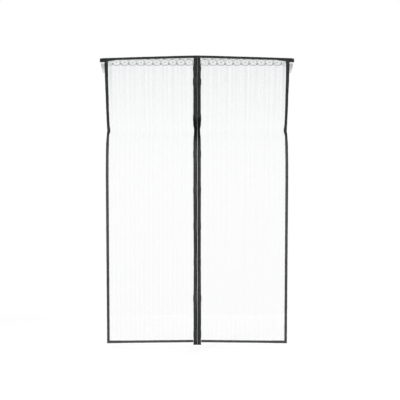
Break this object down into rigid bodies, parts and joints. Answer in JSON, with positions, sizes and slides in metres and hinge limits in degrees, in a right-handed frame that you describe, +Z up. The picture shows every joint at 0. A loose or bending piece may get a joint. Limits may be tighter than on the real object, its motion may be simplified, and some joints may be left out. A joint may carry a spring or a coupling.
{
  "type": "magnetic insect screen",
  "caption": "Doorway insect screen: two gathered net panels in folded tape, joined by magnets sewn into centre sleeves, with a scalloped lace edging and a winged heading.",
  "frame": {"origin": "middle of the fastener strip's flat back face, at the centre of the doorway", "axes": "+Z up along the centre sleeves, +Y out of the back face towards the door frame, +X to the viewer's right"},
  "size_m": [1.4998, 0.0208, 2.222],
  "materials": {
    "black_fastener": "napped loop pile",
    "black_tape": "plain woven tape",
    "white_net": "sheer knitted net",
    "white_lace": "openwork lace",
    "magnet_rubber": "matt bonded magnet"
  },
  "bodies": {
    "root": {"fastener_strip": "black_fastener", "heading_left": "black_tape", "heading_right": "black_tape", "lace_trim": "white_lace", "net_panel_left": "white_net", "net_panel_right": "white_net", "side_binding_left": "black_tape", "side_binding_right": "black_tape", "centre_sleeve_left": "black_tape", "centre_sleeve_right": "black_tape", "bottom_hem_left": "black_tape", "bottom_hem_right": "black_tape", "magnet_left_1": "magnet_rubber", "magnet_left_2": "magnet_rubber", "magnet_left_3": "magnet_rubber", "magnet_left_4": "magnet_rubber", "magnet_left_5": "magnet_rubber", "magnet_left_6": "magnet_rubber", "magnet_left_7": "magnet_rubber", "magnet_left_8": "magnet_rubber", "magnet_right_1": "magnet_rubber", "magnet_right_2": "magnet_rubber", "magnet_right_3": "magnet_rubber", "magnet_right_4": "magnet_rubber", "magnet_right_5": "magnet_rubber", "magnet_right_6": "magnet_rubber", "magnet_right_7": "magnet_rubber", "magnet_right_8": "magnet_rubber"}
  },
  "joints": []
}
